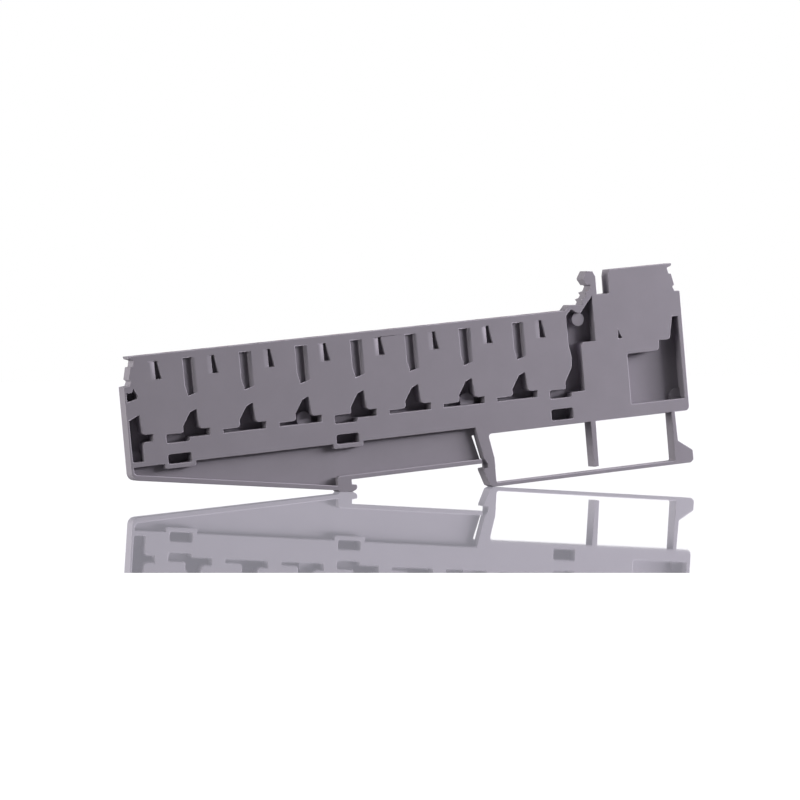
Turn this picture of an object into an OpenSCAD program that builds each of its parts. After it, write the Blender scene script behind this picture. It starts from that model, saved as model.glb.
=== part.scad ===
// Slim rail-mounted terminal block that shares one potential between eight levels and a raised feed level.
// Frame: +X along the block, +Z away from the rail, the closed side faces -Y.
// Origin: middle of the rail seat, half way through the thickness.

/* [Body] */
// Thickness of the block along the rail
body_t = 3.5; // [3.3:0.1:4.5]
// Distance between two levels
level_pitch = 14; // [13.4:0.1:16]
// Rail centre to the first level's neck
first_level = 64.1; // [60:0.1:66]
// Height of the top face over the rail seat
top_z = 34; // [33.5:0.1:40]
// Height of the busbar strip's lower edge over the rail seat
strip_z = 8.6; // [8:0.1:9]
// Wall over the chambers on the closed side
front_wall = 0.7; // [0.5:0.05:0.9]
// Floor of the recesses on the open side
back_wall = 0.7; // [0.5:0.05:0.9]
// Wall between a chamber and a recess
side_wall = 0.6; // [0.45:0.05:0.7]
// Solid band under the top face
top_band = 1.7; // [1.4:0.1:2]
// Rim round the lower recess
rim = 1.05; // [0.8:0.05:1.3]
// Depth of the lower recess on the closed side
web_depth = 1.4; // [1:0.1:1.8]
// Thickness of the web behind the lower recess
web_t = 0.8; // [0.6:0.1:1.2]
// Left end wall to the first level's neck
left_margin = 7.7; // [7.5:0.1:9]
// Depth of the long slots on the closed side
long_slot_depth = 0.8; // [0.6:0.1:1.4]
// Radius of the round funnel flanks beside the slots
flank_r = 6; // [4:0.5:8]
// Drop of the flat funnel flanks beside the wedges
flank_drop = 0.3; // [0.1:0.05:0.5]

/* [Feed block] */
// Height of the feed block's top over the body's top
feed_rise = 8.7; // [8.5:0.1:10]
// Last level to the feed level
feed_gap = 26.1; // [25.5:0.1:30]
// Feed level to the right end face
right_margin = 12.55; // [12.4:0.1:15]
// Height of the underside right of the foot
underside_z = 6.8; // [6.2:0.1:7.2]
// Right end wall
end_wall = 1.1; // [0.8:0.1:1.6]

/* [Rail foot] */
// Width of the rail that the foot clips on
rail_w = 35; // [33:0.1:36]
// Thickness of the rail's edge
rail_t = 1; // [0.8:0.1:1.5]
// Play of the rail in its grooves
rail_play = 0.1; // [0.05:0.05:0.3]
// Reach of the hooks under the rail's edge
hook_reach = 1.25; // [0.9:0.05:1.6]
// Drop of the release bar's underside below the seat
foot_drop = 5.85; // [5:0.05:7]
// Thickness of the release bar
lever_t = 0.9; // [0.7:0.05:1.3]
// Width of the slit beside the springy stem
slit = 0.8; // [0.5:0.1:1]
// Width of the springy stem
stem_w = 3; // [2.5:0.1:3.5]
// Thickness of the two legs over the release bar
leg_t = 1.3; // [1:0.1:1.8]
// Feed level to the middle leg
leg_gap = 14.4; // [13:0.1:16]

/* [Clamping parts] */
// Width of the metal strips along Y
metal_w = 2; // [1.6:0.1:2.1]
// Height of the busbar
bar_h = 1.5; // [1.2:0.1:1.6]
// Thickness of the contact tongues
tongue_t = 0.8; // [0.5:0.05:0.9]
// Thickness of the leaf springs
spring_t = 0.3; // [0.2:0.05:0.35]
// Bend radius of the leaf springs' loop
loop_r = 1.75; // [1.6:0.05:1.8]
// Travel of a release button
button_travel = 1.5; // [1:0.1:1.6]
// Width of a release button's head
button_w = 2.8; // [2.2:0.1:3]
// How far a button's head lies below the top face
button_sink = 0.3; // [0.2:0.05:0.6]
// Wall of the conductor funnels
funnel_wall = 0.55; // [0.45:0.05:0.65]
// Running clearance of the buttons
slide_clear = 0.15; // [0.1:0.05:0.2]
// Seating clearance of the metal parts
seat_clear = 0.05; // [0.02:0.01:0.1]

/* [Hidden] */
$fn = 48;
eps = 0.01;
LEVELS = 8;

GREY = [0.5, 0.49, 0.52];
COPPER = [0.72, 0.45, 0.3];
STEEL = [0.75, 0.75, 0.77];
ORANGE = [0.85, 0.4, 0.1];

// Places along X
function level_x(k) = -first_level + level_pitch * k;
last_x = level_x(LEVELS - 1);
left_x = -first_level - left_margin;
feed_x = last_x + feed_gap;
right_x = feed_x + right_margin;
post_right = feed_x - 9.8;
post_left = post_right - 1.45;
feed_left = feed_x - 6.5;
corner_x = last_x + 7.6;
groove_x = rail_w / 2 + rail_play;

// Places along Y
front_y = -body_t / 2;
back_y = body_t / 2;
floor_y = back_y - back_wall;
cavity_y = front_y + front_wall;
metal_y = cavity_y + seat_clear;
web_y = front_y + web_depth;
slot_y = front_y + long_slot_depth;

// Heights, stacked up from the busbar strip
window_z = strip_z - 0.1;
window_h = 2.2;
channel_gap = 0.5;
strip_h = 5.6;
foot_h = 0.85;
heel_h = 1.55;
fin_h = 6.25;
loop_h = 6.2;
slot_h = 7.95;
channel_z = window_z + window_h + channel_gap;
channel_h = bar_h + 2 * seat_clear;
upper_window_z = channel_z + channel_h + channel_gap;
fin_z = strip_z + strip_h;
foot_z = fin_z + foot_h;
heel_z = fin_z + heel_h;
tip_z = fin_z + fin_h;
chamber_z = foot_z + side_wall;
loop_z = chamber_z + loop_h;
slot_z = chamber_z + slot_h;
feed_lift = feed_rise;
feed_top = top_z + feed_rise;
shoulder_z = top_z + 3;
groove_z = -(rail_t + rail_play);

// Cell values, measured along X from a level's neck
neck_half = 1.6;
slot_left = 7.2;
slot_wall = level_pitch - 4.65;
slot_right = level_pitch - 3.4;
fin_left = 5.9;
fin_tip = level_pitch - 4.55;
fin_right = level_pitch - 4.1;
window_left = neck_half - 0.05;
window_right = 7.3;
window_r = 0.45;
loop_x = 5.35;
WINDOW_LEVELS = [0, 3, 7];
LOOP_LEVELS = [0, 3];
PAD_LEVELS = [2, 5];

// Funnels, with a round flank beside each slot and a flat one beside each wedge
hole_r = body_t / 2 - funnel_wall;
mouth_left = -3;
mouth_right = -1.25;
mouth_z = slot_z - 1.6;
wedge_left = -1.1;
wedge_wall = 0.25;
wedge_h = 5.8;
wedge_z = top_z - wedge_h;

// Outline helpers

function moved(points, dx, dz = 0) = [for (p = points) [p[0] + dx, p[1] + dz, len(p) > 2 ? p[2] : 0]];

function unit(v) = v / norm(v);

// Points of an arc of radius r that rounds the corner b between a and c
function round_corner(a, b, c, r, steps = 4) =
    let (
        u = unit(a - b),
        v = unit(c - b),
        half = acos(max(-1, min(1, u * v))) / 2,
        reach = min(r / tan(half), 0.49 * min(norm(a - b), norm(c - b))),
        radius = reach * tan(half),
        middle = b + unit(u + v) * radius / sin(half),
        first = b + u * reach - middle,
        last = b + v * reach - middle,
        start = atan2(first[1], first[0]),
        turn = atan2(last[1], last[0]) - start,
        sweep = turn > 180 ? turn - 360 : turn < -180 ? turn + 360 : turn
    )
    [for (i = [0:steps]) middle + radius * [cos(start + sweep * i / steps), sin(start + sweep * i / steps)]];

// Outline whose corners [x, z, r] are rounded where r is given
function rounded(points) =
    let (n = len(points), flat = [for (p = points) [p[0], p[1]]])
    [for (i = [0:n - 1])
        each (len(points[i]) > 2 && points[i][2] > 0
            ? round_corner(flat[(i + n - 1) % n], flat[i], flat[(i + 1) % n], points[i][2])
            : [flat[i]])];

function arc(cx, cz, r, from, to, steps) =
    [for (i = [0:steps]) [cx, cz] + r * [cos(from + (to - from) * i / steps), sin(from + (to - from) * i / steps)]];

// Side of a bent strip: the path's points moved sideways by d
function side_of(path, d) =
    [for (i = [0:len(path) - 1])
        let (
            before = i > 0 ? unit(path[i] - path[i - 1]) : unit(path[1] - path[0]),
            after = i < len(path) - 1 ? unit(path[i + 1] - path[i]) : before,
            mean = unit(before + after)
        )
        path[i] + [-mean[1], mean[0]] * d / (mean * before)];

function strip(path, t) =
    let (far = side_of(path, -t / 2))
    concat(side_of(path, t / 2), [for (i = [len(far) - 1:-1:0]) far[i]]);

// Prism of a flat XZ outline between two places along Y
module prism(y0, y1) {
    translate([0, y1, 0]) rotate([90, 0, 0]) linear_extrude(y1 - y0) children();
}

module recess(points) {
    prism(front_y - 1, floor_y) polygon(rounded(points));
}

module cavity(points) {
    prism(cavity_y, back_y + 1) polygon(rounded(points));
}

module obround(left, right, r) {
    translate([left, 0]) circle(r);
    translate([right, 0]) circle(r);
    translate([left, -r]) square([right - left, 2 * r]);
}

// Round moulding pad that stands on the recess floor
module pad(x, z, r, depth) {
    translate([x, floor_y + eps, z]) rotate([90, 0, 0]) cylinder(h = floor_y + eps - front_y - depth, r = r);
}

// Housing: outline

// Marker groove at an end, from the lip down to the shelf: inward distance and depth under the top
END_GROOVE = [
    [1.65, 0], [1.75, -0.6], [2.95, -1, 0.3], [2.6, -2.4, 0.15], [1.95, -2.5], [1.3, -5.2],
    [1.85, -5.7, 0.2], [1.4, -6.7, 0.15], [0, -6.8, 0.2]
];

function left_groove() = [for (p = END_GROOVE) [left_x + p[0], top_z + p[1], len(p) > 2 ? p[2] : 0]];

function right_groove() =
    [for (i = [len(END_GROOVE) - 1:-1:0])
        let (p = END_GROOVE[i])
        [right_x - p[0], feed_top + p[1], len(p) > 2 ? p[2] : 0]];

// Marker holder between the body and the feed block, from the post's foot to the body's top edge
function middle_groove() = [
    [post_right, shoulder_z, 0.15],
    [post_right, top_z + 7.4, 0.4],
    [post_right - 0.7, top_z + 8.7, 0.3],
    [post_left - 0.95, top_z + 8.85, 0.3],
    [post_left - 2.1, top_z + 7.1, 0.6],
    [post_left - 1.15, top_z + 5.5, 0.3],
    [post_left, top_z + 5.4, 0.3],
    [post_left - 0.8, top_z + 4.05],
    [post_left - 1.9, top_z + 3.8],
    [post_left - 1.5, top_z + 3.15],
    [post_left - 2, top_z + 2.5],
    [post_left - 2.95, top_z + 2.25],
    [post_left - 2.5, top_z + 1.6],
    [post_left - 2.9, top_z + 0.95],
    [corner_x + 1.1, top_z + 1.2, 0.2],
    [corner_x, top_z]
];

toe_x = -groove_x - 3.7;
toe_z = groove_z - 1.6;
slope_z = toe_z + 0.55;
left_low = strip_z - 2.8;
slope = (slope_z - left_low) / (toe_x - left_x);
hook_tip = -groove_x + hook_reach;
stem_low = groove_x - 0.9;
stem_high = stem_low - 1.7;
stem_lean = (stem_high - stem_low) / (strip_z - rim - 0.25);
seat_right = groove_x - 1.4;
slit_top = strip_z - 1.8;

function stem_x(z) = stem_low + stem_lean * (z - rim - 0.25);
root_right = stem_high + stem_w + 0.45;
root_r = 0.9;

module body_outline() {
    polygon(rounded(concat(
        left_groove(),
        [
            [left_x, left_low, 1.7],
            [toe_x, slope_z, 0.4],
            [toe_x + 0.5, toe_z, 0.3],
            [-groove_x, toe_z - 0.2, 0.3],
            [hook_tip, toe_z + 0.3, 0.8],
            [hook_tip, groove_z - 0.25, 0.3],
            [-groove_x, groove_z],
            [-groove_x, 0],
            [seat_right, 0],
            [seat_right, rim],
            [stem_x(slit_top) - slit, slit_top, 0.2],
            [stem_x(slit_top) + 0.3, slit_top],
            [stem_x(slit_top) + 0.3, strip_z],
            [root_right, strip_z],
            [root_right, underside_z],
            [right_x, underside_z, 1.1]
        ],
        right_groove(),
        [
            [feed_left + 0.35, feed_top, 0.2],
            [feed_left - 0.05, feed_top - 1.5],
            [feed_left - 0.1, shoulder_z, 0.15]
        ],
        middle_groove()
    )));
}

// Housing: recesses open to the closed side

lower_left = left_x + 0.7;

function lower_recess() = [
    [lower_left, strip_z],
    [lower_left, left_low + rim + 0.1, 0.9],
    [toe_x + 0.15, slope_z + rim, 0.2],
    [toe_x + 0.15, rim - 0.3],
    [toe_x + 0.8, rim],
    [stem_low + 0.4, rim],
    [stem_low + 0.4, rim + 1],
    [stem_high + 0.4, strip_z]
];

// The lower recess leaves a web between the two sides
module lower_recesses() {
    prism(front_y - 1, web_y) polygon(rounded(lower_recess()));
    prism(web_y + web_t, back_y + 1) polygon(rounded(lower_recess()));
}

function fin() = [
    [window_left + 0.1, foot_z],
    [window_left + 0.1, fin_z],
    [level_pitch - neck_half - 0.15, fin_z],
    [level_pitch - neck_half - 0.05, heel_z],
    [fin_right, heel_z, 0.9],
    [fin_tip, tip_z, 0.25],
    [fin_left + 1.95, tip_z - 0.65],
    [fin_left - 0.05, fin_z + 2.6],
    [fin_left, foot_z, 0.9]
];

// Recess left of the first level
function end_fin() = [
    [lower_left - 0.1, tip_z - 1.05],
    [lower_left - 0.1, strip_z + 1.2, 0.4],
    [left_x + 3.4, strip_z + 1.2],
    [left_x + 3.5, fin_z, 0.8],
    [-first_level - neck_half - 0.1, fin_z],
    [-first_level - neck_half, heel_z],
    [-first_level + fin_right - level_pitch, heel_z, 0.9],
    [-first_level + fin_tip - level_pitch, tip_z, 0.25]
];

// Small recess under the left marker groove
function end_pocket() = [
    [lower_left - 0.1, tip_z + 3.2],
    [left_x + 3.1, tip_z + 3.75, 0.3],
    [left_x + 3.2, tip_z + 4.5],
    [left_x + 2.3, tip_z + 6.1],
    [left_x + 1.9, tip_z + 5.3, 0.5],
    [left_x + 1.3, tip_z + 5.1],
    [lower_left - 0.1, tip_z + 5.3]
];

// Gap between a level's button channel and the next level's funnel
function long_slot() = [
    [slot_left, top_z - top_band],
    [slot_left, slot_z + 2.5, 0.6],
    [slot_left + 0.6, slot_z],
    [slot_right, slot_z + 0.8],
    [slot_right, top_z - top_band]
];

// Gap between a level's funnel and its button channel
function wedge() = [
    [wedge_left, top_z - top_band],
    [wedge_left, wedge_z],
    [1.7, wedge_z],
    [0.9, top_z - top_band]
];

// Funnel side right of a slot, which bulges out to the flat side at y
module round_flank(x, y) {
    linear_extrude(top_z)
        intersection() {
            translate([x + slot_right, y]) circle(flank_r);
            translate([x + slot_wall, -body_t]) square([flank_r, 2 * body_t]);
        }
}

// The slots leave a web like the lower recess, nearer to the closed side
module long_slots(x) {
    difference() {
        prism(front_y - 1, slot_y) polygon(rounded(moved(long_slot(), x)));
        round_flank(x, front_y + flank_r - eps);
    }
    difference() {
        prism(slot_y + web_t, back_y + 1) polygon(rounded(moved(long_slot(), x)));
        round_flank(x, back_y - flank_r + eps);
    }
}

// Funnel side left of a wedge, which slopes down to the wedge's wall
module flat_flank(x) {
    linear_extrude(top_z)
        polygon([
            [x + wedge_left, front_y],
            [x + wedge_wall, front_y + flank_drop],
            [x + wedge_wall, back_y],
            [x + wedge_left - 1, back_y],
            [x + wedge_left - 1, front_y]
        ]);
}

module wedge_recess(x) {
    difference() {
        recess(moved(wedge(), x));
        flat_flank(x);
    }
}

// The last level's window has no frame below the strip and reaches lower
function lower_window(k) =
    let (low = window_z - (k == LEVELS - 1 ? 0.4 : 0))
    [
        [window_left, window_z + window_h, window_r],
        [window_left, low, window_r],
        [window_right, low, window_r],
        [window_right, window_z + window_h, window_r]
    ];

function upper_window() = [
    [window_left, foot_z + 0.25, window_r],
    [window_left, upper_window_z, window_r],
    [window_right, upper_window_z, 0.6],
    [window_right, foot_z + 0.25]
];

// Deep shaft between the last level and the feed block
function end_shaft() = [
    [corner_x, top_z - 1.2],
    [corner_x, slot_z + 2.2, 1],
    [corner_x + 0.55, slot_z - 0.8, 1.5],
    [corner_x + 0.4, tip_z, 1.5],
    [last_x + fin_left, fin_z + 2.7, 1],
    [last_x + fin_left, foot_z - 0.2],
    [last_x + window_right, fin_z + 0.2],
    [post_left - 3.95, fin_z + 0.2, 0.2],
    [post_left - 3.95, slot_z + 2.4, 0.8],
    [post_left, slot_z + 2.4],
    [post_left, top_z + 2.75],
    [post_left - 3.4, top_z - 1, 0.3],
    [corner_x + 2.9, top_z - 0.9, 0.3],
    [corner_x + 1.5, top_z + 0.1, 0.2]
];

// Large recess in the feed block's lower right corner
riser_right = feed_x - 3.05;
ledge_z = chamber_z + feed_lift - 2.35;
function corner_recess() = [
    [riser_right, strip_z + 1.25, 0.3],
    [right_x - end_wall, strip_z + 1.25, 0.3],
    [right_x - end_wall, ledge_z + 7.8, 0.2],
    [right_x - end_wall - 1.55, ledge_z + 7.9],
    [right_x - end_wall - 2.65, ledge_z + 2.45, 0.9],
    [feed_x + 5.75, ledge_z + 2.45, 0.3],
    [feed_x + 5.7, ledge_z, 1.1],
    [riser_right, ledge_z, 0.3]
];

function triangle() = [
    [feed_x - 4.95, ledge_z + 6],
    [feed_x - 5.05, ledge_z + 3.95],
    [feed_x - 4.05, ledge_z + 4.05]
];

module front_recesses() {
    lower_recesses();
    recess(end_fin());
    recess(end_pocket());
    recess(end_shaft());
    recess(corner_recess());
    recess(triangle());
    for (k = [0:LEVELS - 1]) wedge_recess(level_x(k));
    for (k = [0:LEVELS - 2]) {
        long_slots(level_x(k));
        recess(moved(fin(), level_x(k)));
    }
    for (k = WINDOW_LEVELS) {
        recess(moved(lower_window(k), level_x(k)));
        recess(moved(upper_window(), level_x(k)));
    }
}

// Housing: what stands in the recesses

// Loop that frames a lower window below the strip
function window_frame() = [
    [window_left - 0.95, strip_z + eps],
    [window_left - 0.95, strip_z - 1.15, 0.95],
    [window_right + 0.95, strip_z - 1.15, 0.95],
    [window_right + 0.95, strip_z + eps]
];

module window_frames() {
    for (k = LOOP_LEVELS)
        difference() {
            prism(front_y, back_y) polygon(rounded(moved(window_frame(), level_x(k))));
            recess(moved(lower_window(k), level_x(k)));
        }
}

module pads() {
    for (k = PAD_LEVELS) pad(level_x(k) + fin_tip - 1, fin_z + 0.9, 1.85, 1.6);
    pad(left_x + 1.7, strip_z + 2.15, 1.6, 2.3);
    pad(corner_x + 3.45, top_z - 2.45, 1.6, 0.9);
    pad(right_x - end_wall - 0.95, strip_z + 1.9, 1.9, 2);
}

// Housing: foot

bar_top = -foot_drop + lever_t;
leg_x = feed_x - leg_gap;
right_leg_x = right_x - 5;

module stem() {
    prism(front_y, web_y + web_t)
        polygon(rounded([
            [stem_high, strip_z],
            [stem_high, strip_z + 0.6],
            [stem_low, rim + 0.25],
            [groove_x, -0.2, 0.3],
            [groove_x, groove_z + 0.3],
            [stem_low + stem_w - 0.1, groove_z],
            [stem_low + stem_w - 0.15, rim],
            [root_right, underside_z, root_r],
            [root_right + 2 * root_r, underside_z],
            [root_right + 2 * root_r, strip_z + 0.6]
        ]));
}

module foot_hook() {
    prism(front_y, back_y)
        polygon(rounded([
            [groove_x, rim, 0.2],
            [groove_x, groove_z],
            [groove_x - hook_reach + 0.05, groove_z - 0.1, 0.1],
            [groove_x - hook_reach + 0.05, groove_z - 0.6],
            [groove_x + 0.1, -foot_drop + 0.5, 0.4],
            [groove_x + 1, -foot_drop],
            [right_x - 0.8, -foot_drop, 0.5],
            [right_x, -foot_drop + 0.6, 0.4],
            [right_x, -foot_drop + 3, 0.6],
            [right_leg_x + 1.2, -0.2, 0.3],
            [right_leg_x + 1, underside_z + eps],
            [right_leg_x, underside_z + eps],
            [right_leg_x, bar_top, 0.4],
            [stem_low + stem_w - 0.15, bar_top, 0.6],
            [stem_low + stem_w - 0.15, rim]
        ]));
}

module middle_leg() {
    prism(front_y, back_y)
        polygon([
            [leg_x, underside_z + eps],
            [leg_x, bar_top + lever_t],
            [leg_x + leg_t, bar_top + lever_t],
            [leg_x + leg_t + 0.15, underside_z + eps]
        ]);
}

// Housing: cavities open to the back

chamber_left = fin_tip - level_pitch + side_wall;
chamber_heel = fin_right - level_pitch + side_wall;
chamber_top = slot_z + 0.4;
chamber_neck = wedge_wall + side_wall + 0.3;

function chamber_floor(necked) = necked
    ? [
        [chamber_heel, heel_z + side_wall],
        [-neck_half + side_wall, heel_z + side_wall],
        [-neck_half + side_wall, fin_z - 1.2],
        [window_left - side_wall, fin_z - 1.2],
        [window_left - side_wall, chamber_z]
    ]
    : [[chamber_heel, chamber_z]];

function chamber(necked = true) = concat(
    [
        [0.9 + side_wall, top_z - top_band],
        [1.7 + side_wall, wedge_z - side_wall],
        [chamber_neck, wedge_z - side_wall - 0.4],
        [chamber_neck, chamber_top],
        [mouth_left + 0.1, chamber_top],
        [chamber_left, tip_z + 0.15]
    ],
    chamber_floor(necked),
    [
        [fin_left - side_wall - 0.3, chamber_z, 0.4],
        [fin_left - side_wall, fin_z + 2.7],
        [fin_left + 1.9 - side_wall, tip_z - 0.45],
        [slot_left + 0.2, loop_z, 0.8],
        [slot_left + 0.6 - side_wall, slot_z],
        [slot_left - side_wall, slot_z + 2.5],
        [slot_left - side_wall, top_z - top_band]
    ]
);

strip_left = left_x + 3.5 + side_wall;
riser_left = riser_right - side_wall - 1.6;

// Long channel for the busbar, narrowed where a window's socket stands in it
module busbar_cavity() {
    prism(cavity_y, back_y + 1)
        difference() {
            polygon([
                [strip_left, strip_z + side_wall],
                [riser_right - side_wall, strip_z + side_wall],
                [riser_right - side_wall, fin_z - side_wall],
                [strip_left, fin_z - side_wall]
            ]);
            for (k = WINDOW_LEVELS) {
                translate([level_x(k) + window_left - side_wall, strip_z - 1])
                    square([window_right - window_left + 2 * side_wall, channel_z - strip_z + 1]);
                translate([level_x(k) + window_left - side_wall, channel_z + channel_h])
                    square([window_right - window_left + 2 * side_wall, 4]);
            }
        }
}

function riser() = [
    [riser_left, fin_z - 1.2],
    [riser_right - side_wall, fin_z - 1.2],
    [riser_right - side_wall, chamber_z + feed_lift],
    [feed_x + chamber_heel + 0.1, chamber_z + feed_lift],
    [feed_x + chamber_heel + 0.1, chamber_z + feed_lift + 1.05],
    [riser_left, chamber_z + feed_lift + 1.05]
];

// Core between the end shaft and the feed riser
function feed_core() = [
    [post_left - 3.35, fin_z + 0.2],
    [riser_left - side_wall, fin_z + 0.2],
    [riser_left - side_wall, ledge_z + 3],
    [feed_left - side_wall, ledge_z + 3.6],
    [feed_left - side_wall, shoulder_z - 0.6],
    [post_left + side_wall, shoulder_z - 0.6],
    [post_left + side_wall, slot_z + 1.8],
    [post_left - 3.35, slot_z + 1.8]
];

button_x = 4.35;
button_left = button_x - button_w / 2;
button_right = button_x + button_w / 2;

// Tapered conductor entry: wide at the top face, straight further down
module funnel_hole(x, left, lift) {
    high = top_z + lift + 1;
    low = mouth_z + lift;
    intersection() {
        translate([x, 0, low]) linear_extrude(high - low) obround(left, mouth_right, hole_r);
        prism(-body_t, body_t)
            polygon([
                [x + left - hole_r, high],
                [x + left - hole_r, top_z + lift - 0.4],
                [x + mouth_left + 0.15, wedge_z + lift - 2],
                [x + mouth_left + 0.15, low],
                [x + mouth_right + 0.45, low],
                [x + mouth_right + 0.45, wedge_z + lift - 2],
                [x + mouth_right + hole_r, top_z + lift - 0.4],
                [x + mouth_right + hole_r, high]
            ]);
    }
}

module button_hole(x, lift) {
    translate([x + button_left - slide_clear, metal_y - slide_clear, top_z + lift - top_band - eps])
        cube([button_w + 2 * slide_clear, metal_w + 2 * slide_clear, top_band + 1]);
}

module back_cavities() {
    for (k = [0:LEVELS - 1]) {
        cavity(moved(chamber(), level_x(k)));
        funnel_hole(level_x(k), mouth_left, 0);
        button_hole(level_x(k), 0);
    }
    cavity(moved(chamber(false), feed_x, feed_lift));
    funnel_hole(feed_x, feed_left + funnel_wall + hole_r - feed_x, feed_lift);
    button_hole(feed_x, feed_lift);
    busbar_cavity();
    cavity(riser());
    cavity(feed_core());
}

module housing() {
    color(GREY)
        difference() {
            union() {
                difference() {
                    prism(front_y, back_y) body_outline();
                    front_recesses();
                }
                window_frames();
                pads();
                stem();
                foot_hook();
                middle_leg();
            }
            back_cavities();
        }
}

// Busbar: one stamped bar with a tongue for each level

bar_z = channel_z + seat_clear;
tongue_z = heel_z + side_wall + seat_clear;
tongue_left = chamber_heel + 0.15;
tongue_right = tongue_left + 2 * tongue_t - 0.6;

// Upright that the conductor is pressed against, from its foot at height z
function contact(z) = [
    [tongue_left + tongue_t, z + tongue_t, 0.3],
    [chamber_left + 0.25 + tongue_t, tip_z],
    [chamber_left + 0.6 + tongue_t, tip_z + 2.1],
    [chamber_left + 0.75, tip_z + 1.9],
    [chamber_left + 0.25, tip_z],
    [tongue_left, z, 0.3]
];

function tongue() = concat(
    [
        [0.5, bar_z + bar_h - eps],
        [0.5, tongue_z + tongue_t, 0.3]
    ],
    contact(tongue_z),
    [
        [-0.6, tongue_z, 0.2],
        [-0.6, bar_z + bar_h - eps]
    ]
);

bar_left = -first_level - 0.6;
feed_tongue_z = chamber_z + seat_clear;
feed_riser_left = riser_left + 0.2;
feed_riser_right = riser_right - side_wall - 0.2;

function feed_tongue() = concat(
    [
        [feed_riser_left - feed_x, bar_z - feed_lift],
        [feed_riser_right - feed_x, bar_z - feed_lift],
        [feed_riser_right - feed_x, feed_tongue_z]
    ],
    [[tongue_left + tongue_t, feed_tongue_z]],
    [for (i = [1:4]) contact(feed_tongue_z)[i]],
    [
        [tongue_left, feed_tongue_z + tongue_t + 0.2],
        [tongue_left, feed_tongue_z + tongue_t],
        [feed_riser_left - feed_x, feed_tongue_z + tongue_t, 0.3]
    ]
);

module busbar() {
    color(COPPER)
        prism(metal_y, metal_y + metal_w)
            union() {
                translate([bar_left, bar_z]) square([feed_riser_right - bar_left, bar_h]);
                for (k = [0:LEVELS - 1]) polygon(rounded(moved(tongue(), level_x(k))));
                polygon(rounded(moved(feed_tongue(), feed_x, feed_lift)));
            }
}

// Leaf spring: a leg on the chamber floor, a loop, and a clamping leg that ends at the tongue

leg_z = chamber_z + seat_clear + spring_t / 2;
loop_end = 115;
clamp_x = chamber_left + 0.25 + tongue_t + 0.4;
clamp_z = tip_z - 0.75;

function spring_path() = concat(
    [
        [window_left - side_wall + 0.2, leg_z],
        [fin_left - side_wall - 1.1, leg_z],
        [fin_left - side_wall - 0.7, leg_z + 0.8]
    ],
    arc(loop_x, loop_z, loop_r, -25, loop_end, 10),
    [[clamp_x, clamp_z]]
);

module leaf_spring(x, lift) {
    color(STEEL)
        prism(metal_y, metal_y + metal_w)
            polygon(rounded(moved(strip(spring_path(), spring_t), x, lift)));
}

// Release button: a head in the top face, shoulders under the band and a nose over the clamping leg

clamp_slope = (loop_z + loop_r * sin(loop_end) - clamp_z) / (loop_x + loop_r * cos(loop_end) - clamp_x);
nose_left = 1.9 + side_wall;
nose_right = nose_left + 1.1;
shoulder_right = slot_left - side_wall - 0.2;
belly_z = loop_z + loop_r + spring_t / 2 + button_travel + slide_clear;

function leg_top(x) = clamp_z + (x - clamp_x) * clamp_slope + spring_t / 2 + 0.22;

function button_outline() = [
    [button_left, top_z - button_sink, 0.25],
    [button_right, top_z - button_sink, 0.25],
    [button_right, top_z - top_band - slide_clear],
    [shoulder_right, top_z - top_band - slide_clear, 0.2],
    [shoulder_right, slot_z + 4.6, 0.4],
    [shoulder_right - 1.5, belly_z + 0.4, 0.4],
    [nose_right, belly_z, 0.4],
    [nose_right, leg_top(nose_right), 0.1],
    [nose_left, leg_top(nose_left), 0.1],
    [nose_left, top_z - top_band - slide_clear, 0.2],
    [button_left, top_z - top_band - slide_clear]
];

slot_w = 1.7;
slot_t = 0.6;
slot_depth = 0.6;

module push_button(x, lift) {
    color(ORANGE)
        translate([x, 0, lift])
            difference() {
                prism(metal_y, metal_y + metal_w) polygon(rounded(button_outline()));
                translate([button_x - slot_w / 2, metal_y + (metal_w - slot_t) / 2, top_z - button_sink - slot_depth])
                    cube([slot_w, slot_t, slot_depth + 1]);
            }
}

housing();
busbar();
leaf_spring(feed_x, feed_lift);  // feed_spring
push_button(feed_x, feed_lift);  // feed_button
for (k = [0:LEVELS - 1]) {
    leaf_spring(level_x(k), 0);
    push_button(level_x(k), 0);
}
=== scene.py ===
"""Looks of a slim rail-mounted terminal block.

It has a grey moulded housing, a copper busbar, steel springs and orange pushers.
"""

import math

import bmesh
import bpy
from mathutils import Matrix, Vector


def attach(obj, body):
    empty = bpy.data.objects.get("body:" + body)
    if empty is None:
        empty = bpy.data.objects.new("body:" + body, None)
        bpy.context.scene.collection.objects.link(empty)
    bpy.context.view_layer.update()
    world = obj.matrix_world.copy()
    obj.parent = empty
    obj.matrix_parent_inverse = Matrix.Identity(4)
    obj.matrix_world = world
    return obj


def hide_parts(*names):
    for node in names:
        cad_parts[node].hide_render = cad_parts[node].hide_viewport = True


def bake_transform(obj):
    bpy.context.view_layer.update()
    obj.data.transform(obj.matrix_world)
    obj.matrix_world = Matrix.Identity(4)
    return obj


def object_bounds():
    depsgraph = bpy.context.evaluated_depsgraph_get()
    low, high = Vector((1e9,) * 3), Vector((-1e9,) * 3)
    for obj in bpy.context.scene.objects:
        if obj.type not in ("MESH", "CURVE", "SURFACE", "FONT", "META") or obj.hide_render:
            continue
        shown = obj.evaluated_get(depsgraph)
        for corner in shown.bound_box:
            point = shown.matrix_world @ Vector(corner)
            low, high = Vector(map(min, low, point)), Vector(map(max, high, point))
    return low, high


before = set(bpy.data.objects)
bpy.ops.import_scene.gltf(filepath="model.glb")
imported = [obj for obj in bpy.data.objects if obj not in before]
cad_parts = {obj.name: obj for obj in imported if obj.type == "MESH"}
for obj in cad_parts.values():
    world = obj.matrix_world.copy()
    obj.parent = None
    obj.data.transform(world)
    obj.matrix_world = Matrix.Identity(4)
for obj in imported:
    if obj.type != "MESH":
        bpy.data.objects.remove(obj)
cad_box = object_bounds()

MM = 0.001
LEVELS = 8

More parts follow.
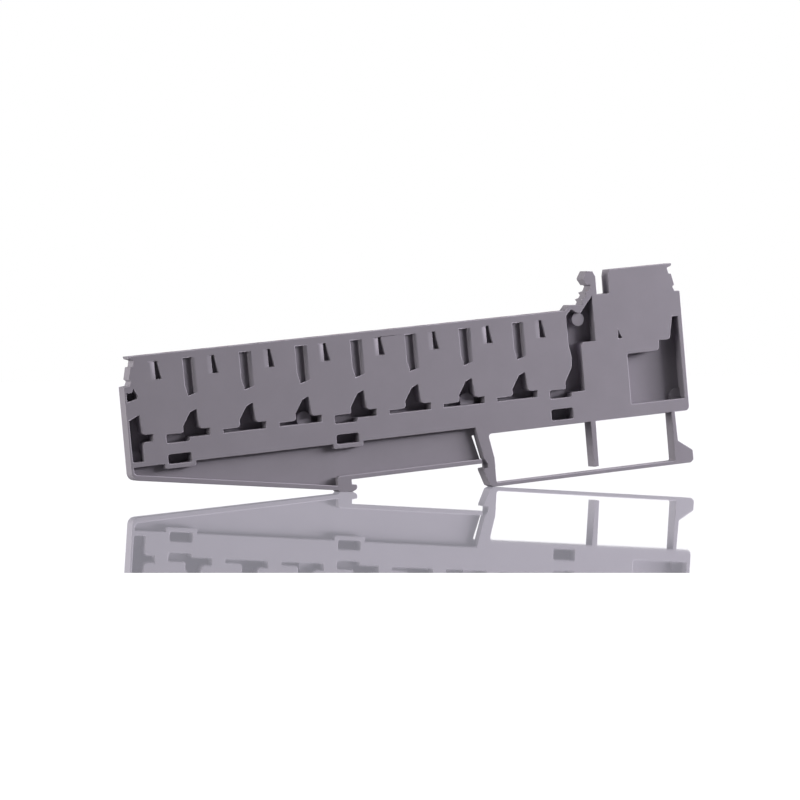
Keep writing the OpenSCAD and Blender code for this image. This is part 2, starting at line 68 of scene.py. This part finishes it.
# Camera, fitted to the photograph
IMAGE_PX = 800
FOCAL_PX = 4034.4
SENSOR_MM = 36
VIEW_YAW = math.radians(23.757)
VIEW_RISE = math.radians(3.363)
VIEW_ROLL = math.radians(5.004)
VIEW_OFFSET = Vector((4.073, 16.683, 950.303)) * MM
CLIP_NEAR = 0.01
CLIP_FAR = 20

# The block stands on its left hook and on its foot, so the floor leans a little in its frame
HOOK_LOW = Vector((-17.6, 0, -2.9)) * MM
FOOT_LOW = Vector((18.6, 0, -5.85)) * MM
FLOOR_REACH = 1.5

# The floor is polished down to one row of the photo and matt white below it
MIRROR_END_PX = 573
FLOOR_MATT = (0.1, 0.1, 0.1)
MIRROR_ROUGHNESS = 0.02
POLISHED_GLOSS = 0.83
POLISHED_GLOW = (0.19, 0.185, 0.214)
POLISHED_BOUNCE = 0.2

# Light of the white room on the block
WORLD_FILL = 0.05

# Rounding of the moulded and stamped edges
HOUSING_EDGE = 0.16 * MM
METAL_EDGE = 0.05 * MM
SPRING_EDGE = 0.04 * MM
BUTTON_EDGE = 0.12 * MM
EDGE_STEPS = 2

# Limits for corners at one place, for corners to weld, for flat faces, outer edges and sharp shading
SAME_PLACE = 0.002 * MM
WELD = 3 * SAME_PLACE
FLAT_ANGLE = math.radians(0.5)
CORNER_ANGLE = math.radians(35)
SHARP_ANGLE = math.radians(40)

# Colours
GREY = (0.225, 0.206, 0.241)
ORANGE = (0.7, 0.17, 0.03)
COPPER = (0.72, 0.41, 0.27)
STEEL = (0.56, 0.56, 0.58)

# Plastic: gain of its colour on rounded edges, which paints a highlight there, and changes over its surface
EDGE_HIGHLIGHT_GAIN = 1.3
PLASTIC_SPECULAR = 0.03
PLASTIC_MOTTLE = 0.025
PLASTIC_SHEEN = 0.06
GRAIN_DEPTH = 0.012 * MM

# Metal: changes over its surface
METAL_STAIN = 0.06
STREAK_SMOOTHER = 0.08
STREAK_ROUGHER = 0.1
STREAK_STRENGTH = 0.25
STREAK_DEPTH = 0.01 * MM

# Span of a noise texture's values that is spread over a colour or a roughness
NOISE_LOW = 0.3
NOISE_HIGH = 0.7

# Sockets of a Mix node that mixes two colours
MIX_FACTOR = 0
MIX_FIRST = 6
MIX_SECOND = 7
MIX_RESULT = 2

# Recess floors of the housing, moved to shade as in the photo: old and new y, lowest and highest z
WEDGE_FLOORS = (1.05 * MM, -0.35 * MM, 28.1 * MM, 34 * MM)
LOWER_WINDOW_FLOORS = (1.05 * MM, 1.62 * MM, 8 * MM, 10.8 * MM)
FIN_AND_WINDOW_FLOORS = (1.05 * MM, 1.35 * MM, 9 * MM, 21 * MM)
END_PAD = (0.55 * MM, -0.1 * MM, 0 * MM, 20 * MM)
FLOORS = (WEDGE_FLOORS, LOWER_WINDOW_FLOORS, FIN_AND_WINDOW_FLOORS, END_PAD)

# Flanks beside the slots reach up to one depth, those beside the wedges have another, and each has a gain
SLOT_FLANK = 0.2 * MM
SLOT_FLANK_GAIN = 1.6
WEDGE_FLANK = 0.3 * MM
WEDGE_FLANK_GAIN = 0.6

# Lamps: turn from +X towards the closed side and rise in degrees, size in metres, power in watts, tone.
# Metal mirrors the white room and not the lamps.
LAMP_REACH = 0.75
WHITE = (1, 1, 1)
WARM = (1, 1.01, 0.95)
LAMPS = (
    ("key", 24, 11, (0.28, 0.14), 7.3, WHITE),
    ("key_high", 10, 14, (0.23, 0.29), 6.8, WHITE),
    ("key_top", 36, 30, (0.29, 0.23), 1.1, WHITE),
    ("left", 170, 6, (0.3, 0.3), 2.9, WARM),
    ("left_high", 166, 25, (0.17, 0.23), 1.25, WARM),
    ("left_back", 194, 8, (0.23, 0.34), 4.0, WARM),
    ("left_top", 187, 40, (0.23, 0.23), 1.0, WARM),
    ("back", 295, 35, (1.0, 1.0), 5.6, WHITE),
)

# Places of the levels and the feed. The real spring bends between its loop's right side, which stays, and
# its top, which follows the button.
FIRST_LEVEL = -64.1 * MM
LEVEL_PITCH = 14 * MM
FEED_PLACE = Vector((60, 0, 8.7)) * MM


# Camera

def camera_axes():
    forward = Vector((
        math.sin(VIEW_YAW) * math.cos(VIEW_RISE),
        math.cos(VIEW_YAW) * math.cos(VIEW_RISE),
        -math.sin(VIEW_RISE),
    ))
    level = Vector((math.cos(VIEW_YAW), -math.sin(VIEW_YAW), 0))
    up = level.cross(forward)
    right = level * math.cos(VIEW_ROLL) - up * math.sin(VIEW_ROLL)
    down = -level * math.sin(VIEW_ROLL) - up * math.cos(VIEW_ROLL)
    return right, down, forward


def camera_place():
    right, down, forward = camera_axes()
    return -(right * VIEW_OFFSET.x + down * VIEW_OFFSET.y + forward * VIEW_OFFSET.z)


def add_camera():
    right, down, forward = camera_axes()
    data = bpy.data.cameras.new("photo_camera")
    data.sensor_width = SENSOR_MM
    data.lens = FOCAL_PX * SENSOR_MM / IMAGE_PX
    data.clip_start = CLIP_NEAR
    data.clip_end = CLIP_FAR
    camera = bpy.data.objects.new("photo_camera", data)
    turn = Matrix((right, -down, -forward)).transposed().to_4x4()
    camera.matrix_world = Matrix.Translation(camera_place()) @ turn
    bpy.context.scene.collection.objects.link(camera)
    bpy.context.scene.camera = camera


# Shader helpers

def new_tree(owner):
    owner.use_nodes = True
    owner.node_tree.nodes.clear()
    return owner.node_tree


def add_node(tree, kind, **inputs):
    node = tree.nodes.new(kind)
    for name, value in inputs.items():
        node.inputs[name.replace("_", " ")].default_value = value
    return node


def object_coordinates(tree, stretch=(1, 1, 1)):
    place = tree.nodes.new("ShaderNodeTexCoord")
    mapping = add_node(tree, "ShaderNodeMapping", Scale=stretch)
    tree.links.new(place.outputs["Object"], mapping.inputs["Vector"])
    return mapping.outputs["Vector"]


def noise(tree, vector, scale, detail, roughness=0.5):
    node = add_node(tree, "ShaderNodeTexNoise", Scale=scale, Detail=detail, Roughness=roughness)
    tree.links.new(vector, node.inputs["Vector"])
    return node.outputs["Fac"]


def ramp(tree, fac, low, high):
    node = tree.nodes.new("ShaderNodeValToRGB")
    stops = ((NOISE_LOW, low), (NOISE_HIGH, high))
    for element, (place, colour) in zip(node.color_ramp.elements, stops):
        element.position = place
        element.color = (*colour, 1)
    tree.links.new(fac, node.inputs["Fac"])
    return node.outputs["Color"]


def spread(tree, fac, low, high):
    limits = {"From_Min": NOISE_LOW, "From_Max": NOISE_HIGH, "To_Min": low, "To_Max": high}
    node = add_node(tree, "ShaderNodeMapRange", **limits)
    tree.links.new(fac, node.inputs["Value"])
    return node.outputs["Result"]


def bump(tree, height, strength, distance):
    node = add_node(tree, "ShaderNodeBump", Strength=strength, Distance=distance)
    tree.links.new(height, node.inputs["Height"])
    return node.outputs["Normal"]


def shades(colour, change):
    return [c * (1 - change) for c in colour], [c * (1 + change) for c in colour]


def show(tree, kind, surface):
    output = tree.nodes.new(kind)
    tree.links.new(surface, output.inputs["Surface"])


# Materials

def paint_edge_highlight(tree, colour, highlight_colour):
    """Colour that turns into another one on the rounded edges, for a painted highlight there."""
    attribute = tree.nodes.new("ShaderNodeAttribute")
    attribute.attribute_name = "rounded"
    node = tree.nodes.new("ShaderNodeMix")
    node.data_type = "RGBA"
    tree.links.new(attribute.outputs["Fac"], node.inputs[MIX_FACTOR])
    tree.links.new(colour, node.inputs[MIX_FIRST])
    node.inputs[MIX_SECOND].default_value = (*highlight_colour, 1)
    return node.outputs[MIX_RESULT]


def polyamide(name, colour, rough, grain):
    """Moulded polyamide: faint mottling, a fine eroded grain, a matt surface and a painted highlight on its
    rounded edges.
    """
    material = bpy.data.materials.new(name)
    tree = new_tree(material)
    shader = add_node(tree, "ShaderNodeBsdfPrincipled", Specular_IOR_Level=PLASTIC_SPECULAR)
    vector = object_coordinates(tree)
    dark, light = shades(colour, PLASTIC_MOTTLE)
    mottle = ramp(tree, noise(tree, vector, scale=140, detail=5, roughness=0.6), dark, light)
    # Rounded edges get a lighter colour: a painted highlight.
    tree.links.new(paint_edge_highlight(tree, mottle, [c * EDGE_HIGHLIGHT_GAIN for c in colour]), shader.inputs["Base Color"])
    blotches = noise(tree, vector, scale=900, detail=3)
    sheen = spread(tree, blotches, rough - PLASTIC_SHEEN, rough + PLASTIC_SHEEN)
    tree.links.new(sheen, shader.inputs["Roughness"])
    pits = noise(tree, vector, scale=7000, detail=3, roughness=0.6)
    tree.links.new(bump(tree, pits, grain, GRAIN_DEPTH), shader.inputs["Normal"])
    show(tree, "ShaderNodeOutputMaterial", shader.outputs["BSDF"])
    return material


def rolled_metal(name, colour, rough, stretch):
    """Rolled strip metal: fine streaks along the strip and faint stains."""
    material = bpy.data.materials.new(name)
    tree = new_tree(material)
    shader = add_node(tree, "ShaderNodeBsdfPrincipled", Metallic=1.0)
    dark, light = shades(colour, METAL_STAIN)
    stain = noise(tree, object_coordinates(tree), scale=260, detail=4, roughness=0.6)
    tree.links.new(ramp(tree, stain, dark, light), shader.inputs["Base Color"])
    streaks = noise(tree, object_coordinates(tree, stretch), scale=60, detail=4, roughness=0.7)
    sheen = spread(tree, streaks, rough - STREAK_SMOOTHER, rough + STREAK_ROUGHER)
    tree.links.new(sheen, shader.inputs["Roughness"])
    tree.links.new(bump(tree, streaks, STREAK_STRENGTH, STREAK_DEPTH), shader.inputs["Normal"])
    show(tree, "ShaderNodeOutputMaterial", shader.outputs["BSDF"])
    return material


# Pieces

def lies_at(part, y):
    """Whether all corners of a face or an edge have this y."""
    return all(abs(v.co.y - y) < SAME_PLACE for v in part.verts)


def reset_recesses(shape):
    """Move the housing's recess floors and flanks to the depths that shade as in the photograph."""
    front = min(v.co.y for v in shape.verts)
    for face in shape.faces:
        heights = [v.co.z for v in face.verts]
        for old, new, low, high in FLOORS:
            if lies_at(face, old) and low < min(heights) and max(heights) < high:
                for vert in face.verts:
                    vert.co.y = new
                break
    for vert in shape.verts:
        depth = vert.co.y - front
        if SAME_PLACE < depth < SLOT_FLANK:
            vert.co.y = front + depth * SLOT_FLANK_GAIN
        elif abs(depth - WEDGE_FLANK) < SAME_PLACE:
            vert.co.y = front + depth * WEDGE_FLANK_GAIN


def round_outlines(shape, sides, width):
    """Round the outer edges of the two flat sides and mark the faces that this makes; plastic paints a
    highlight on them.
    """
    outlines = [
        e for e in shape.edges
        if len(e.link_faces) == 2 and e.calc_face_angle_signed() > CORNER_ANGLE
        and any(lies_at(e, y) for y in sides)
    ]
    rounded = shape.faces.layers.float.new("rounded")
    made = bmesh.ops.bevel(
        shape, geom=outlines, offset=width, offset_type="OFFSET", segments=EDGE_STEPS, profile=0.5,
        affect="EDGES", clamp_overlap=False,
    )
    for face in made["faces"]:
        face[rounded] = 1.0


def edged_mesh(node, name, width):
    """Mesh of a CAD node with rounded outlines; only the housing's shallow wedge flanks are shaded flat."""
    shape = bmesh.new()
    shape.from_mesh(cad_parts[node].data)
    bmesh.ops.remove_doubles(shape, verts=shape.verts, dist=WELD)
    bmesh.ops.dissolve_limit(shape, angle_limit=FLAT_ANGLE, verts=shape.verts, edges=shape.edges)
    if node == "housing":
        reset_recesses(shape)
    sides = [min(v.co.y for v in shape.verts), max(v.co.y for v in shape.verts)]
    round_outlines(shape, sides, width)
    flank = sides[0] + WEDGE_FLANK * WEDGE_FLANK_GAIN
    for face in shape.faces:
        on_flank = any(abs(v.co.y - flank) < SAME_PLACE for v in face.verts)
        face.smooth = node != "housing" or not on_flank
    mesh = bpy.data.meshes.new(name)
    shape.to_mesh(mesh)
    shape.free()
    mesh.set_sharp_from_angle(angle=SHARP_ANGLE)
    return mesh


def add_piece(node, name, width, material):
    piece = bpy.data.objects.new(name, edged_mesh(node, name, width))
    bpy.context.scene.collection.objects.link(piece)
    piece.data.materials.append(material)
    normals = piece.modifiers.new("even_normals", "WEIGHTED_NORMAL")
    normals.keep_sharp = True
    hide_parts(node)
    return piece


def add_housing():
    grey = polyamide("grey_polyamide", GREY, rough=0.55, grain=0.12)
    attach(add_piece("housing", "housing_moulding", HOUSING_EDGE, grey), "base")


def add_busbar():
    copper = rolled_metal("rolled_copper", COPPER, rough=0.34, stretch=(1, 1, 40))
    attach(add_piece("busbar", "busbar_stamping", METAL_EDGE, copper), "base")


def add_clamps():
    steel = rolled_metal("spring_steel", STEEL, rough=0.32, stretch=(1, 40, 1))
    orange = polyamide("orange_polyamide", ORANGE, rough=0.45, grain=0.1)
    clamps = []
    for k in range(LEVELS):
        place = Vector((FIRST_LEVEL + LEVEL_PITCH * k, 0, 0))
        clamps.append((f"clamping_spring_{k + 1}", f"release_button_{k + 1}", place))
    clamps.append(("feed_spring", "feed_button", FEED_PLACE))
    for spring, button, place in clamps:
        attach(add_piece(button, f"{button}_cap", BUTTON_EDGE, orange), button)
        leaf = add_piece(spring, f"{spring}_leaf", SPRING_EDGE, steel)
        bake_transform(leaf)


# Stage

def floor_upward():
    along = (FOOT_LOW - HOOK_LOW).normalized()
    return along.cross(Vector((0, 1, 0)))


def on_floor(px, py):
    """Point of the floor that the photograph shows at this pixel."""
    right, down, forward = camera_axes()
    ray = right * (px - IMAGE_PX / 2) + down * (py - IMAGE_PX / 2) + forward * FOCAL_PX
    upward = floor_upward()
    eye = camera_place()
    return eye + ray * ((HOOK_LOW - eye).dot(upward) / ray.dot(upward))


def light_path(tree):
    return tree.nodes.new("ShaderNodeLightPath").outputs


def either(tree, first, second):
    node = tree.nodes.new("ShaderNodeMath")
    node.operation = "MAXIMUM"
    tree.links.new(first, node.inputs[0])
    tree.links.new(second, node.inputs[1])
    return node.outputs["Value"]


def mix_shader(tree, fac, first, second):
    node = tree.nodes.new("ShaderNodeMixShader")
    if isinstance(fac, float):
        node.inputs["Fac"].default_value = fac
    else:
        tree.links.new(fac, node.inputs["Fac"])
    tree.links.new(first, node.inputs[1])
    tree.links.new(second, node.inputs[2])
    return node.outputs["Shader"]


def add_shader(tree, first, second):
    node = tree.nodes.new("ShaderNodeAddShader")
    tree.links.new(first, node.inputs[0])
    tree.links.new(second, node.inputs[1])
    return node.outputs["Shader"]


def floor_material(name, gloss, glow, bounce):
    """Floor that shows a mirror image and a glow, and lights the block by a dim bounce."""
    material = bpy.data.materials.new(name)
    tree = new_tree(material)
    path = light_path(tree)
    seen = either(tree, path["Is Camera Ray"], path["Is Glossy Ray"])
    matt = add_node(tree, "ShaderNodeBsdfDiffuse", Color=(*FLOOR_MATT, 1)).outputs["BSDF"]
    dim = add_node(tree, "ShaderNodeEmission", Color=(*WHITE, 1), Strength=bounce).outputs["Emission"]
    mirror = add_node(tree, "ShaderNodeBsdfGlossy", Color=(*WHITE, 1), Roughness=MIRROR_ROUGHNESS)
    light = add_node(tree, "ShaderNodeEmission", Color=(*glow, 1), Strength=1.0).outputs["Emission"]
    surface = add_shader(tree, mix_shader(tree, gloss, matt, mirror.outputs["BSDF"]), light)
    show(tree, "ShaderNodeOutputMaterial", mix_shader(tree, seen, dim, surface))
    return material


def add_floor_part(name, corners, material):
    mesh = bpy.data.meshes.new(name)
    mesh.from_pydata(corners, [], [range(len(corners))])
    part = bpy.data.objects.new(name, mesh)
    mesh.materials.append(material)
    bpy.context.scene.collection.objects.link(part)


def add_floor():
    left, right = on_floor(0, MIRROR_END_PX), on_floor(IMAGE_PX, MIRROR_END_PX)
    edge = (right - left).normalized() * FLOOR_REACH
    middle = (left + right) / 2
    away = edge.normalized().cross(floor_upward()).normalized() * FLOOR_REACH
    if away.y < 0:
        away = -away
    ends = [middle - edge, middle + edge]
    polished = floor_material("polished_floor", POLISHED_GLOSS, POLISHED_GLOW, POLISHED_BOUNCE)
    add_floor_part("mirror_floor", [*ends, ends[1] + away, ends[0] + away], polished)
    matt = floor_material("matt_floor", gloss=0.0, glow=WHITE, bounce=0.0)
    add_floor_part("front_floor", [ends[0] - away, ends[1] - away, ends[1], ends[0]], matt)


def add_world():
    world = bpy.data.worlds.new("white_room")
    bpy.context.scene.world = world
    tree = new_tree(world)
    path = light_path(tree)
    straight = either(tree, path["Is Camera Ray"], path["Is Glossy Ray"])
    seen = either(tree, straight, path["Is Transmission Ray"])
    white = add_node(tree, "ShaderNodeBackground", Color=(*WHITE, 1), Strength=1.0)
    fill = add_node(tree, "ShaderNodeBackground", Color=(*WHITE, 1), Strength=WORLD_FILL)
    surface = mix_shader(tree, seen, fill.outputs["Background"], white.outputs["Background"])
    show(tree, "ShaderNodeOutputWorld", surface)


def add_lamp(name, turn, rise, size, power, tone):
    data = bpy.data.lights.new(name, "AREA")
    data.shape = "RECTANGLE"
    data.size, data.size_y = size
    data.energy = power
    data.color = tone
    lamp = bpy.data.objects.new(name, data)
    turn, rise = math.radians(turn), math.radians(rise)
    towards = Vector((math.cos(turn) * math.cos(rise), -math.sin(turn) * math.cos(rise), math.sin(rise)))
    middle = (Vector(cad_box[0]) + Vector(cad_box[1])) / 2
    lamp.location = middle + towards * LAMP_REACH
    lamp.rotation_euler = towards.to_track_quat("Z", "Y").to_euler()
    lamp.visible_glossy = False
    bpy.context.scene.collection.objects.link(lamp)


add_camera()
add_floor()
add_world()
for lamp in LAMPS:
    add_lamp(*lamp)
add_housing()
add_busbar()
add_clamps()

view_settings = bpy.context.scene.view_settings
view_settings.view_transform = "Standard"
